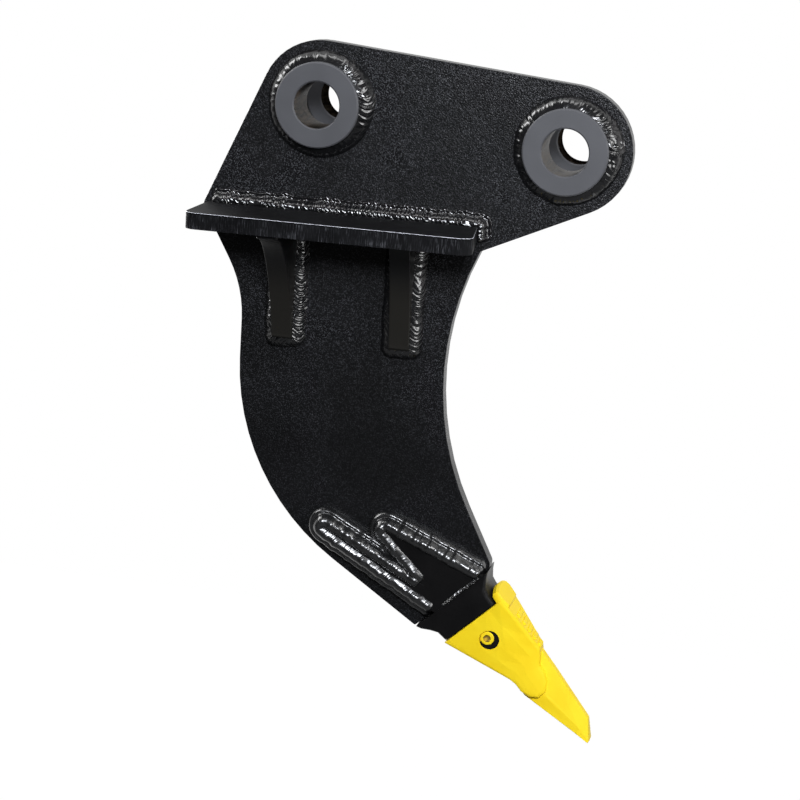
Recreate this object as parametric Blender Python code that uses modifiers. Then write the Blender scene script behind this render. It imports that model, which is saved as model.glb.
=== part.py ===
"""Excavator ripper: a curved, profile-cut shank and ear plate carrying pin hubs, stiffening wings
with gussets, a second ear, a weld-on nose with two legs on each side, and a side-pinned tooth.

Frame, in metres: X runs along the wings towards the digging side, Y away from the near side, Z up.
The origin is on the arm pin's axis, in the middle of the main plate's thickness.
"""

import math

import bmesh
import bpy
from mathutils import Matrix, Vector

MM = 0.001
GAP = 0.3 * MM                  # clearance between pieces that meet

# Pins
PIN_BORE_R = 22.5 * MM
LINK_PIN = (-243.0 * MM, 24.6 * MM)
ARM_PIN = (0.0, 0.0)

# Main plate: ear and shank in one piece
PLATE_T = 16.0 * MM
EAR_LINK_R = 61.0 * MM
EAR_ARM_R = 62.5 * MM
EAR_HEEL = (-357.5 * MM, -83.0 * MM)
SHANK_BACK_X = -312.4 * MM
SHANK_HEEL_Z = -162.5 * MM
SHANK_HEEL_R = 120.0 * MM
SHANK_BACK_TURN_Z = -360.6 * MM
SHANK_BACK_R = 235.0 * MM
SHANK_THROAT = (-76.5 * MM, -104.0 * MM)
SHANK_FRONT_TURN = (-137.0 * MM, -236.0 * MM)
SHANK_FRONT_R = 292.0 * MM
SHANK_FRONT_FOOT = (-44.0 * MM, -416.0 * MM)
SHANK_BACK_FOOT = (-116.0 * MM, -489.8 * MM)

# Hubs
HUB_R = 41.3 * MM
HUB_PROUD = 17.5 * MM
HUB_CHAMFER = 1.6 * MM
FAR_HUB_R = 38.0 * MM

# Wings
WING_T = 16.0 * MM
WING_TOP = -79.0 * MM
WING_LEFT = -350.0 * MM
WING_RIGHT = -69.0 * MM
WING_ROOT_RIGHT = -79.5 * MM    # where the front end meets the plate, behind its outer corner
WING_ROOT_STRAIGHT = 12.0 * MM
WING_NEAR_REACH = 88.0 * MM
WING_FAR_REACH = 98.0 * MM
WING_CORNER_R = 12.8 * MM

# Second ear, on the far wing
FAR_EAR_INNER = 79.6 * MM
FAR_EAR_R = 47.0 * MM
FAR_EAR_FOOT = (-332.0 * MM, -92.0 * MM)
FAR_EAR_WELD_INSET = 4.0 * MM

# Gussets
GUSSET_T = 20.5 * MM
GUSSET_SHIN = 14.0 * MM
GUSSET_LIP = 3.0 * MM
GUSSET_HOLLOW = 0.58            # 0 is a straight edge, 1 a quarter of an ellipse
GUSSET_FOOT_Z = -207.0 * MM
GUSSET_FOOT_CUT = 2.0 * MM
REAR_GUSSET_X = -267.0 * MM
FRONT_GUSSET_X = -148.5 * MM
REAR_GUSSET_REACH = 84.0 * MM
FRONT_GUSSET_REACH = 46.0 * MM

# Nose and tooth, along their own axis
TOOTH_BACK = (-57.4 * MM, -474.6 * MM)
TOOTH_SLOPE = math.radians(-46.2)
NOSE_SHOULDER = -29.7 * MM      # from the tooth's back to the plate's end face
COLLAR = (                      # along the axis: underside, top, half width and corner radius
    (NOSE_SHOULDER, -48.5 * MM, 46.5 * MM, 21.0 * MM, 3.0 * MM),
    (-25.0 * MM, -45.5 * MM, 41.0 * MM, 23.0 * MM, 4.0 * MM),
    (-18.5 * MM, -38.8 * MM, 35.2 * MM, 24.8 * MM, 5.0 * MM),
    (-12.0 * MM, -33.6 * MM, 33.6 * MM, 25.6 * MM, 5.0 * MM),
    (-1.2 * MM, -32.4 * MM, 33.2 * MM, 25.8 * MM, 6.0 * MM),
)
NOSE_ROOT = (-1.0 * MM, -26.5 * MM, 32.5 * MM, 19.6 * MM, 5.0 * MM)
NOSE_NECK = (64.0 * MM, 1.5 * MM, 25.0 * MM, 13.0 * MM, 4.0 * MM)
NOSE_TIP = (70.0 * MM, 5.0 * MM, 21.5 * MM, 10.0 * MM, 3.5 * MM)
TOOTH_SEAT = 0.7 * MM           # all round the nose, in the tooth's pocket
CHEEK_T = 12.0 * MM
REAR_LEG = (                    # the circles that a leg's outline goes round
    ((-213.0 * MM, -395.5 * MM), 7.5 * MM),
    ((-86.0 * MM, -464.5 * MM), 9.0 * MM),
)
FRONT_LEG = (
    ((-149.0 * MM, -392.0 * MM), 8.0 * MM),
    ((-53.0 * MM, -430.0 * MM), 6.0 * MM),
    ((-80.0 * MM, -462.0 * MM), 6.0 * MM),
)
TOOTH_HALF = 27.0 * MM
TOOTH_TAPER = 0.085             # how fast each side closes in, low down
TOOTH_LEAN = 0.17               # and how much faster at the top
LIP_REACH = 12.0 * MM           # the lip of the tooth's top wall, over the collar
LIP_SET_BACK = 3.0 * MM         # how much less it reaches at its corners
LIP_TOP = 42.6 * MM
LIP_INSET = 2.5 * MM            # from the tooth's side to the lip's, at its root
LIP_CLOSE = 4.0 * MM            # how much narrower each side is at its back edge
LIP_CLEARANCE = 1.0 * MM
LIP_EASE = 2.0 * MM
SOCKET_EASE = 4.5 * MM
BLADE_EASE = 1.2 * MM
BLADE_FOOT = 16.5 * MM
BLADE_FOOT_TAPER = 0.035
BLADE_SPINE = 5.2 * MM
BLADE_SPINE_TAPER = 0.004

# The tooth's pin, and the recess beside it in which the lock ring lies
PIN_AT = (22.1 * MM, 3.8 * MM)
TOOTH_PIN_R = 7.0 * MM
PIN_DISH_R = 3.8 * MM
PIN_DISH = 2.4 * MM
PIN_EASE = 0.9 * MM
PIN_SUNK = 0.8 * MM
RECESS_R = 10.0 * MM
RECESS_OFFSET = (2.2 * MM, -1.4 * MM)
RECESS_DEPTH = 4.8 * MM
LOCK_RING_T = 2.8 * MM
LOCK_RING_SUNK = 1.4 * MM
LOCK_RING_LEAST = 1.0 * MM      # where the ring gets thinner than this it ends
THROUGH = 90.0 * MM             # half the length of a cutter that passes right through

# Weld beads, by leg
HUB_BEAD = 10.5 * MM
FAR_HUB_BEAD = 8.0 * MM
WING_BEAD = 8.6 * MM
GUSSET_BEAD = 10.5 * MM
CHEEK_BEAD = 10.0 * MM
RIPPLE = 0.035                  # how far a bead swells and sinks, of its leg
BEAD_STEP = 6.2 * MM

PLATE_PLANE = Matrix(((1, 0, 0, 0), (0, 0, -1, 0), (0, 1, 0, 0), (0, 0, 0, 1)))
SIDE_PLANE = Matrix(((0, 0, 1, 0), (1, 0, 0, 0), (0, 1, 0, 0), (0, 0, 0, 1)))


def clear_scene():
    for obj in list(bpy.data.objects):
        bpy.data.objects.remove(obj)


def material(name, colour, roughness, metallic):
    made = bpy.data.materials.new(name)
    made.use_nodes = True
    shader = made.node_tree.nodes["Principled BSDF"]
    shader.inputs["Base Color"].default_value = (*colour, 1.0)
    shader.inputs["Roughness"].default_value = roughness
    shader.inputs["Metallic"].default_value = metallic
    made.diffuse_color = (*colour, 1.0)
    return made


clear_scene()
RIPPER = bpy.data.collections.new("excavator_ripper")
CUTTERS = bpy.data.collections.new("cutters")
bpy.context.scene.collection.children.link(RIPPER)
bpy.context.scene.collection.children.link(CUTTERS)
CUTTERS.hide_render = True

BLACK_PAINT = material("black_paint", (0.016, 0.016, 0.018), 0.38, 0.0)
BLACK_EDGE = material("black_edge_paint", (0.028, 0.028, 0.031), 0.45, 0.0)
HUB_PAINT = material("hub_satin", (0.07, 0.07, 0.075), 0.5, 0.2)
BEAD_PAINT = material("bead_gloss", (0.02, 0.02, 0.022), 0.22, 0.0)
CAST_PAINT = material("cast_black", (0.018, 0.018, 0.02), 0.42, 0.0)
YELLOW = material("tooth_yellow", (0.95, 0.72, 0.012), 0.45, 0.0)
DARK_RUBBER = material("lock_ring_rubber", (0.02, 0.018, 0.015), 0.6, 0.0)


def new_object(name, mesh, paint, collection=RIPPER):
    obj = bpy.data.objects.new(name, mesh)
    collection.objects.link(obj)
    if collection == CUTTERS:
        obj.hide_render = True
        obj.display_type = "WIRE"
    if paint:
        mesh.materials.append(paint)
    return obj


def smooth(obj, degrees=32.0):
    for face in obj.data.polygons:
        face.use_smooth = True
    obj.data.set_sharp_from_angle(angle=math.radians(degrees))
    return obj


def as_mesh(obj, name, paint, collection=RIPPER):
    """The object's evaluated shape as a plain mesh object; the first object is removed."""
    bpy.context.view_layer.update()
    graph = bpy.context.evaluated_depsgraph_get()
    mesh = bpy.data.meshes.new_from_object(obj.evaluated_get(graph))
    mesh.transform(obj.matrix_world)
    bpy.data.objects.remove(obj)
    shape = bmesh.new()
    shape.from_mesh(mesh)
    bmesh.ops.remove_doubles(shape, verts=shape.verts, dist=1e-6)
    bmesh.ops.recalc_face_normals(shape, faces=shape.faces)
    shape.to_mesh(mesh)
    shape.free()
    mesh.materials.clear()
    return new_object(name, mesh, paint, collection)


def arc(centre, radius, start, end, step=math.radians(7.5)):
    """Points on a circle from one angle to another, ends included."""
    count = max(2, math.ceil(abs(end - start) / step))
    angles = [start + (end - start) * i / count for i in range(count + 1)]
    return [(centre[0] + radius * math.cos(a), centre[1] + radius * math.sin(a)) for a in angles]


def circle(centre, radius, count=40):
    return arc(centre, radius, 0.0, math.tau, math.tau / count)[:-1]


def rounded(corners, step=math.radians(7.5)):
    """A closed outline of straight lines whose corners (x, z, radius) are rounded off.

    A corner's radius is limited where its edges are too short for it.
    """
    spots = [Vector(corner[:2]) for corner in corners]
    following = spots[1:] + spots[:1]
    lengths = [(b - a).length for a, b in zip(spots, following)]
    backs = [(spots[i - 1] - here).normalized() for i, here in enumerate(spots)]
    aheads = [(b - a).normalized() for a, b in zip(spots, following)]
    halves = [back.angle(ahead) / 2 for back, ahead in zip(backs, aheads)]
    wanted = [corner[2] / math.tan(half) for corner, half in zip(corners, halves)]
    points = []
    for i, here in enumerate(spots):
        if corners[i][2] <= 0.0:
            points.append(tuple(here))
            continue
        beside = (wanted[i - 1], lengths[i - 1]), (wanted[(i + 1) % len(spots)], lengths[i])
        room = min(length / (wanted[i] + other) for other, length in beside)
        reach = wanted[i] * min(1.0, 0.999 * room)
        radius = reach * math.tan(halves[i])
        centre = here + (backs[i] + aheads[i]).normalized() * (radius / math.sin(halves[i]))
        first = here + backs[i] * reach - centre
        last = here + aheads[i] * reach - centre
        start = math.atan2(first.y, first.x)
        turn = math.remainder(math.atan2(last.y, last.x) - start, math.tau)
        points.extend(arc(centre, radius, start, start + turn, step))
    return points


def hull(points):
    """The convex outline round a set of points, anticlockwise."""
    ordered = sorted(set(points))

    def half(run):
        line = []
        for p in run:
            while len(line) > 1 and cross(line[-2], line[-1], p) <= 1e-12:
                line.pop()
            line.append(p)
        return line[:-1]

    return half(ordered) + half(ordered[::-1])


def cross(a, b, c):
    return (b[0] - a[0]) * (c[1] - a[1]) - (b[1] - a[1]) * (c[0] - a[0])


def line_meet(a, b, c, d):
    """Where the line through a and b meets the line through c and d."""
    ab, cd = Vector(b) - Vector(a), Vector(d) - Vector(c)
    t = (Vector(c) - Vector(a)).cross(cd) / ab.cross(cd)
    return tuple(Vector(a) + ab * t)


def cut_plate(name, outline, holes, thickness, place, paint, edge=0.0, collection=RIPPER):
    """A plate cut to a flat outline, with its middle plane where place puts the XY plane."""
    curve = bpy.data.curves.new(name, "CURVE")
    curve.dimensions = "2D"
    curve.fill_mode = "BOTH"
    curve.extrude = thickness / 2
    for ring in [outline, *holes]:
        spline = curve.splines.new("POLY")
        spline.points.add(len(ring) - 1)
        for point, (x, y) in zip(spline.points, ring):
            point.co = (x, y, 0.0, 1.0)
        spline.use_cyclic_u = True
    flat = bpy.data.objects.new(name + "_outline", curve)
    CUTTERS.objects.link(flat)
    flat.matrix_world = place
    plate = as_mesh(flat, name, paint, collection)
    if edge:
        bevel = plate.modifiers.new("edge", "BEVEL")
        bevel.width = edge
        bevel.segments = 1
        bevel.limit_method = "ANGLE"
        bevel.angle_limit = math.radians(60)
        plate = as_mesh(plate, name + "_cut", paint, collection)
        plate.name = name
    return plate


def loft(name, rings, paint, closed=False, collection=RIPPER):
    """One skin over a row of rings with equal point counts, capped at both ends unless closed."""
    shape = bmesh.new()
    rows = [[shape.verts.new(p) for p in ring] for ring in rings]
    count = len(rows[0])
    pairs = list(zip(rows, rows[1:])) + ([(rows[-1], rows[0])] if closed else [])
    for near, far in pairs:
        for i in range(count):
            j = (i + 1) % count
            shape.faces.new((near[i], near[j], far[j], far[i]))
    if not closed:
        shape.faces.new(rows[0][::-1])
        shape.faces.new(rows[-1])
    bmesh.ops.recalc_face_normals(shape, faces=shape.faces)
    mesh = bpy.data.meshes.new(name)
    shape.to_mesh(mesh)
    shape.free()
    return new_object(name, mesh, paint, collection)


def turned(name, centre, profile, paint, count=32):
    """A ring turned about a pin axis from profile points (radius, y)."""
    mesh = bpy.data.meshes.new(name + "_profile")
    points = [(r, 0.0, -y) for r, y in profile]
    edges = [(i, (i + 1) % len(points)) for i in range(len(points))]
    mesh.from_pydata(points, edges, [])
    obj = new_object(name + "_profile", mesh, None, CUTTERS)
    obj.matrix_world = Matrix.Translation((centre[0], 0.0, centre[1])) @ PLATE_PLANE
    screw = obj.modifiers.new("turn", "SCREW")
    screw.steps = count
    screw.render_steps = count
    screw.use_merge_vertices = True
    screw.merge_threshold = 0.00001
    return as_mesh(obj, name, paint)


def boolean(obj, other, operation):
    """Joins or cuts with the exact solver and keeps the result as a plain mesh."""
    modifier = obj.modifiers.new(operation.lower(), "BOOLEAN")
    modifier.object = other
    modifier.operation = operation
    modifier.solver = "EXACT"
    name, paint = obj.name, obj.data.materials[0]
    collection = obj.users_collection[0]
    obj.name = name + "_before"
    made = as_mesh(obj, name, paint, collection)
    bpy.data.objects.remove(other)
    return made


BEAD_SECTION = ((1.0, 0.0), (0.88, 0.5), (0.5, 0.88), (0.0, 1.0))


def bead(name, stations, leg, section=BEAD_SECTION, inner=((0.0, 0.0),), closed=False):
    """A fillet bead along stations (corner, u, v): u and v are the unit directions of its two legs.

    Every other station swells, as a bead does where each new puddle froze; the inner points keep
    a gap to the metal.
    """
    rings = []
    for k, (corner, u, v) in enumerate(stations):
        swell = 1.0 + RIPPLE * (-1) ** k
        ring = [corner + u * (GAP + a * leg) + v * (GAP + b * leg) for a, b in inner[::-1]]
        for a, b in section:
            ring.append(corner + u * (GAP + a * leg * swell) + v * (GAP + b * leg * swell))
        rings.append(ring)
    if not closed:
        pivot = len(inner) // 2
        rings = [tucked(rings[0], pivot), *rings[1:-1], tucked(rings[-1], pivot)]
    return smooth(loft(name, rings, BEAD_PAINT, closed), 50.0)


def tucked(ring, pivot, factor=0.55):
    """A ring drawn in towards its innermost point, for a bead's end."""
    return [ring[pivot] + (p - ring[pivot]) * factor for p in ring]


def ring_stations(centre, radius, y, side, count=44):
    """Round a hub: side is -1 on the near face and 1 on the far one."""
    v = Vector((0.0, side, 0.0))
    stations = []
    for k in range(count):
        angle = math.tau * k / count
        u = Vector((math.cos(angle), 0.0, math.sin(angle)))
        stations.append((Vector((centre[0], y, centre[1])) + u * radius, u, v))
    return stations


def path_stations(corners, y, side, spacing=BEAD_STEP, turn=math.radians(30)):
    """Along an open polygon in the plate plane; the bead lies on the left of the direction of travel."""
    v = Vector((0.0, side, 0.0))
    stations = []
    legs = list(zip(corners, corners[1:]))
    for i, (start, end) in enumerate(legs):
        along = Vector((end[0] - start[0], 0.0, end[1] - start[1]))
        length = along.length
        along.normalize()
        u = Vector((-along.z, 0.0, along.x))
        if i:
            angle = math.remainder(math.atan2(u.z, u.x) - math.atan2(before.z, before.x), math.tau)
            steps = max(1, round(abs(angle) / turn))
            first = math.atan2(before.z, before.x)
            for k in range(1, steps):
                a = first + angle * k / steps
                between = Vector((math.cos(a), 0.0, math.sin(a)))
                stations.append((Vector((start[0], y, start[1])), between, v))
        count = max(1, round(length / spacing))
        for k in range(count + 1):
            stations.append((Vector((start[0], y, start[1])) + along * (length * k / count), u, v))
        before = u
    return stations


# Main plate and the lines that other pieces follow

AXIS = Vector((math.cos(TOOTH_SLOPE), math.sin(TOOTH_SLOPE)))
RISE = Vector((-AXIS.y, AXIS.x))


def on_nose(s, h):
    """A point s along the tooth's axis from its back face and h above the axis."""
    return tuple(Vector(TOOTH_BACK) + AXIS * s + RISE * h)


def plate_outline():
    end_a = on_nose(NOSE_SHOULDER - GAP, 0.0)
    end_b = on_nose(NOSE_SHOULDER - GAP, 1.0)
    front_end = line_meet(SHANK_FRONT_TURN, SHANK_FRONT_FOOT, end_a, end_b)
    back_turn = (SHANK_BACK_X, SHANK_BACK_TURN_Z)
    back_end = line_meet(back_turn, SHANK_BACK_FOOT, end_a, end_b)
    heel_turn = (SHANK_BACK_X, SHANK_HEEL_Z)
    top = math.pi / 2 + math.atan2(LINK_PIN[1], LINK_PIN[0] + 1e-9) - math.pi
    heel_side = Vector(EAR_HEEL) - Vector(LINK_PIN)
    link_leave = math.atan2(heel_side.y, heel_side.x) - math.acos(EAR_LINK_R / heel_side.length)
    throat_side = Vector(SHANK_THROAT)
    arm_meet = math.atan2(throat_side.y, throat_side.x) + math.acos(EAR_ARM_R / throat_side.length)
    link_arc = arc(LINK_PIN, EAR_LINK_R, top, link_leave + math.tau)
    arm_arc = arc(ARM_PIN, EAR_ARM_R, arm_meet, top)
    lower = rounded(
        [
            (*link_arc[-1], 0.0),
            (*EAR_HEEL, 8.0 * MM),
            (*heel_turn, SHANK_HEEL_R),
            (*back_turn, SHANK_BACK_R),
            (*back_end, 2.0 * MM),
            (*front_end, 9.0 * MM),
            (*SHANK_FRONT_TURN, SHANK_FRONT_R),
            (*SHANK_THROAT, 3.0 * MM),
            (*arm_arc[0], 0.0),
        ],
        math.radians(5.0),
    )
    return arm_arc + link_arc[:-1] + lower[:-1]


def build_main_plate():
    holes = [circle(pin, HUB_R + GAP, 32) for pin in (LINK_PIN, ARM_PIN)]
    plate = cut_plate("main_plate", plate_outline(), holes, PLATE_T, PLATE_PLANE, BLACK_PAINT)
    return smooth(plate)


def hub_profile(outer, near, far):
    c = HUB_CHAMFER
    return [
        (PIN_BORE_R, near + c),
        (PIN_BORE_R + c, near),
        (outer - c, near),
        (outer, near + c),
        (outer, far - c),
        (outer - c, far),
        (PIN_BORE_R + c, far),
        (PIN_BORE_R, far - c),
    ]


def build_hubs():
    half = PLATE_T / 2 + HUB_PROUD
    far_end = FAR_EAR_INNER + PLATE_T + HUB_PROUD
    for name, pin in (("link", LINK_PIN), ("arm", ARM_PIN)):
        smooth(turned(f"hub_{name}", pin, hub_profile(HUB_R, -half, half), HUB_PAINT))
        profile = hub_profile(FAR_HUB_R, FAR_EAR_INNER, far_end)
        smooth(turned(f"far_hub_{name}", pin, profile, HUB_PAINT))
        for side_name, side in (("near", -1), ("far", 1)):
            stations = ring_stations(pin, HUB_R, side * PLATE_T / 2, side)
            bead(f"weld_hub_{name}_{side_name}", stations, HUB_BEAD, closed=True)
        outside = FAR_EAR_INNER + PLATE_T
        stations = ring_stations(pin, FAR_HUB_R, outside, 1, 36)
        bead(f"weld_far_hub_{name}", stations, FAR_HUB_BEAD, closed=True)


def build_wing(name, side, reach):
    """A wing is butted on the plate's side; its outer corners are rounded."""
    inner = PLATE_T / 2 + GAP
    outer = PLATE_T / 2 + reach
    outline = rounded(
        [
            (WING_LEFT, side * inner, 1.5 * MM),
            (WING_ROOT_RIGHT, side * inner, 1.5 * MM),
            (WING_ROOT_RIGHT, side * (inner + WING_ROOT_STRAIGHT), 0.0),
            (WING_RIGHT, side * outer, WING_CORNER_R),
            (WING_LEFT, side * outer, WING_CORNER_R),
        ],
        math.radians(11.25),
    )
    place = Matrix.Translation((0.0, 0.0, WING_TOP - WING_T / 2))
    smooth(cut_plate(name, outline, [], WING_T, place, BLACK_EDGE, 0.8 * MM))
    low = WING_TOP - WING_T
    path = [(WING_LEFT + 1.0 * MM, WING_TOP), (WING_ROOT_RIGHT, WING_TOP), (WING_ROOT_RIGHT, low)]
    stations = path_stations(path, side * PLATE_T / 2, side)
    bead(f"weld_{name}", stations, WING_BEAD)


def gusset_outline(side, reach):
    """From the plate out: a short shin below, then a hollow curve all the way out to the wing."""
    base = PLATE_T / 2 + GAP
    shin = PLATE_T / 2 + GUSSET_SHIN
    toe = PLATE_T / 2 + reach
    top = WING_TOP - WING_T - GAP
    start = top - GUSSET_LIP
    depth = start - GUSSET_FOOT_Z - 3 * GUSSET_FOOT_CUT
    hollow = []
    for k in range(11):
        angle = math.pi / 2 * k / 10
        left = GUSSET_HOLLOW * (1 - math.sin(angle)) + (1 - GUSSET_HOLLOW) * math.cos(angle)
        hollow.append((shin + (toe - shin) * left, start - depth * (1 - math.cos(angle))))
    points = [(base, top), (toe, top), *hollow, (shin, GUSSET_FOOT_Z + GUSSET_FOOT_CUT)]
    points += [(shin - GUSSET_FOOT_CUT, GUSSET_FOOT_Z), (base, GUSSET_FOOT_Z)]
    return [(side * y, z) for y, z in points]


def build_gussets():
    for side_name, side in (("near", -1), ("far", 1)):
        for place_name, x, reach in (
            ("rear", REAR_GUSSET_X, REAR_GUSSET_REACH),
            ("front", FRONT_GUSSET_X, FRONT_GUSSET_REACH if side < 0 else REAR_GUSSET_REACH),
        ):
            name = f"gusset_{side_name}_{place_name}"
            place = Matrix.Translation((x, 0.0, 0.0)) @ SIDE_PLANE
            outline = gusset_outline(side, reach)
            smooth(cut_plate(name, outline, [], GUSSET_T, place, BLACK_EDGE, 0.6 * MM))
            left, right = x - GUSSET_T / 2, x + GUSSET_T / 2
            top = WING_TOP - WING_T - GAP
            foot = [(right, top), (right, GUSSET_FOOT_Z), (left, GUSSET_FOOT_Z), (left, top)]
            stations = path_stations(foot[::-1], side * PLATE_T / 2, side)
            stations = [(corner, -u, v) for corner, u, v in stations]
            bead(f"weld_{name}", stations, GUSSET_BEAD)


def build_far_ear():
    around = circle(LINK_PIN, FAR_EAR_R, 48) + circle(ARM_PIN, FAR_EAR_R, 48)
    foot = WING_TOP + GAP
    outline = hull(around + [(x, foot) for x in FAR_EAR_FOOT])
    holes = [circle(pin, FAR_HUB_R + GAP, 32) for pin in (LINK_PIN, ARM_PIN)]
    place = Matrix.Translation((0.0, FAR_EAR_INNER + PLATE_T / 2, 0.0)) @ PLATE_PLANE
    smooth(cut_plate("far_ear", outline, holes, PLATE_T, place, BLACK_PAINT))
    for name, y, side in (("inner", FAR_EAR_INNER, -1), ("outer", FAR_EAR_INNER + PLATE_T, 1)):
        v = Vector((0.0, side, 0.0))
        u = Vector((0.0, 0.0, 1.0))
        first, last = FAR_EAR_FOOT
        run = last - first - 2 * FAR_EAR_WELD_INSET
        count = round(run / BEAD_STEP)
        stations = []
        for k in range(count + 1):
            x = first + FAR_EAR_WELD_INSET + run * k / count
            stations.append((Vector((x, y, WING_TOP)), u, v))
        bead(f"weld_far_ear_{name}", stations, WING_BEAD)


# Nose, tooth and their pin


def finger_outlines():
    """The two legs of a cheek: each is the outline round a few circles."""
    return [
        hull([point for centre, radius in leg for point in circle(centre, radius, 24)])
        for leg in (REAR_LEG, FRONT_LEG)
    ]


def nose_ring(s, low, high, half, corner):
    """A rounded rectangle across the nose's axis."""
    ring = []
    for y, h, a0 in (
        (half, high, 0.0),
        (-half, high, math.pi / 2),
        (-half, low, math.pi),
        (half, low, 1.5 * math.pi),
    ):
        cy = y - math.copysign(corner, y)
        ch = h - corner if h == high else h + corner
        for k in range(4):
            a = a0 + math.pi / 2 * k / 3
            py, ph = cy + corner * math.cos(a), ch + corner * math.sin(a)
            x, z = on_nose(s, ph)
            ring.append(Vector((x, py, z)))
    return ring


def build_nose():
    rings = [nose_ring(*station) for station in (*COLLAR, NOSE_ROOT, NOSE_NECK, NOSE_TIP)]
    nose = loft("nose_adapter", rings, CAST_PAINT)
    inner = PLATE_T / 2 + GAP
    for side_name, side in (("near", -1), ("far", 1)):
        middle = side * (inner + CHEEK_T / 2)
        place = Matrix.Translation((0.0, middle, 0.0)) @ PLATE_PLANE
        for i, outline in enumerate(finger_outlines()):
            name = f"leg_{side_name}_{i}"
            leg = cut_plate(name, outline, [], CHEEK_T, place, CAST_PAINT, 0.0, CUTTERS)
            nose = boolean(nose, leg, "UNION")
    centre = on_nose(*PIN_AT)
    hole = rod("nose_pin_hole", centre, TOOTH_PIN_R + GAP, THROUGH)
    nose = boolean(nose, hole, "DIFFERENCE")
    return smooth(nose, 35.0)


def rod(name, centre, radius, half, paint=CAST_PAINT, collection=CUTTERS, count=28, y=0.0):
    """A round bar along Y, with its middle at y."""
    shape = bmesh.new()
    place = Matrix.Translation((centre[0], y, centre[1])) @ PLATE_PLANE
    bmesh.ops.create_cone(
        shape, cap_ends=True, segments=count, radius1=radius, radius2=radius, depth=2 * half, matrix=place
    )
    mesh = bpy.data.meshes.new(name)
    shape.to_mesh(mesh)
    shape.free()
    return new_object(name, mesh, paint, collection)


def build_cheek_welds():
    """Each cheek's two legs are welded all round; the beads run together between the legs."""
    section = ((1.0, 0.0), (0.88, 0.5), (0.62, 0.72), (0.5, 1.2), (0.1, 1.5), (-0.4, 1.42))
    top = (CHEEK_T + GAP) / CHEEK_BEAD
    inner = ((0.0, 0.0), (0.0, top), (-0.5, top))
    for side_name, side in (("near", -1), ("far", 1)):
        joined = None
        fingers = finger_outlines()
        for outline, other in (fingers, fingers[::-1]):
            stations = around_stations(outline, other, side)
            made = bead(f"weld_cheek_{side_name}", stations, CHEEK_BEAD, section, inner)
            joined = boolean(joined, made, "UNION") if joined else made
        block = nose_block("cheek_weld_end", NOSE_SHOULDER - 3 * GAP, THROUGH)
        joined = boolean(joined, block, "DIFFERENCE")
        smooth(joined, 50.0)


def clearance(point, outline):
    """How far outside an anticlockwise convex outline a point lies."""
    edges = zip(outline, outline[1:] + outline[:1])
    return max(-cross(a, b, point) / math.dist(a, b) for a, b in edges)


def around_stations(outline, other, side, spacing=BEAD_STEP):
    """Along an anticlockwise outline, behind the nose's shoulder and where the other leg leaves room."""
    count = len(outline)
    start = max(range(count), key=lambda i: along_nose(outline[i]))
    ordered = [outline[(start + k) % count] for k in range(count + 1)]
    v = Vector((0.0, side, 0.0))
    y = side * PLATE_T / 2
    runs = [[]]
    for a, b in zip(ordered, ordered[1:]):
        run = Vector((b[0] - a[0], 0.0, b[1] - a[1]))
        u = Vector((run.z, 0.0, -run.x)).normalized()
        steps = round(run.length / spacing)
        for share in [j / steps for j in range(steps + 1)] if steps > 1 else [0.5]:
            at = Vector((a[0], y, a[1])) + run * share
            toe = at + u * (CHEEK_BEAD * 1.1)
            behind = along_nose((at.x, at.z)) < NOSE_SHOULDER + 5 * MM
            if behind and clearance((toe.x, toe.z), other) > GAP:
                runs[-1].append((at, u, v))
            elif runs[-1]:
                runs.append([])
    return max(runs, key=len)


def along_nose(point):
    return (Vector(point) - Vector(TOOTH_BACK)).dot(AXIS)


def nose_block(name, from_s, half):
    """A cube square to the nose's axis, from a point along it on."""
    x, z = on_nose(from_s + half, 0.0)
    size = Matrix.Diagonal((2 * half, 2 * half, 2 * half, 1.0))
    shape = bmesh.new()
    place = Matrix.Translation((x, 0.0, z)) @ Matrix.Rotation(-TOOTH_SLOPE, 4, "Y") @ size
    bmesh.ops.create_cube(shape, size=1.0, matrix=place)
    mesh = bpy.data.meshes.new(name)
    shape.to_mesh(mesh)
    shape.free()
    return new_object(name, mesh, CAST_PAINT, CUTTERS)


def eased(obj, width, segments, limit=30.0):
    bevel = obj.modifiers.new("ease", "BEVEL")
    bevel.width = width
    bevel.segments = segments
    bevel.limit_method = "ANGLE"
    bevel.angle_limit = math.radians(limit)
    name, paint, collection = obj.name, obj.data.materials[0], obj.users_collection[0]
    obj.name = name + "_sharp"
    return as_mesh(obj, name, paint, collection)


# Along the tooth: distance from its back, underside and top side, in millimetres. The first station
# lies behind the back, where the socket is cut off square.
SOCKET_STATIONS = (
    (-10.0, -37.6, 41.4),
    (22.0, -25.2, 39.8),
    (44.0, -16.7, 37.8),
    (64.0, -9.0, 35.8),
    (70.0, -6.8, 31.4),
    (77.0, -5.5, 25.0),
    (86.0, -6.2, 23.5),
    (95.0, -3.5, 19.5),
    (102.0, 3.0, 12.0),
)
BLADE_STATIONS = (
    (50.0, -3.0, 30.0),
    (66.0, -6.0, 34.0),
    (92.0, -7.2, 32.0),
    (150.5, 7.3, 26.2),
    (169.0, 11.4, 13.6),
)


def socket_ring(s, low, high, columns=5):
    """Across the socket: its sides lean in towards the top, the more the nearer the blade."""
    column = []
    for k in range(columns):
        h = low + (high - low) * k / (columns - 1)
        lean = max(0.0, (h + 10.0) / 48.0) ** 2
        column.append((TOOTH_HALF / MM - s * (TOOTH_TAPER + TOOTH_LEAN * lean), h))
    return nose_points(s, [(-y, h) for y, h in column] + column[::-1])


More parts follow.
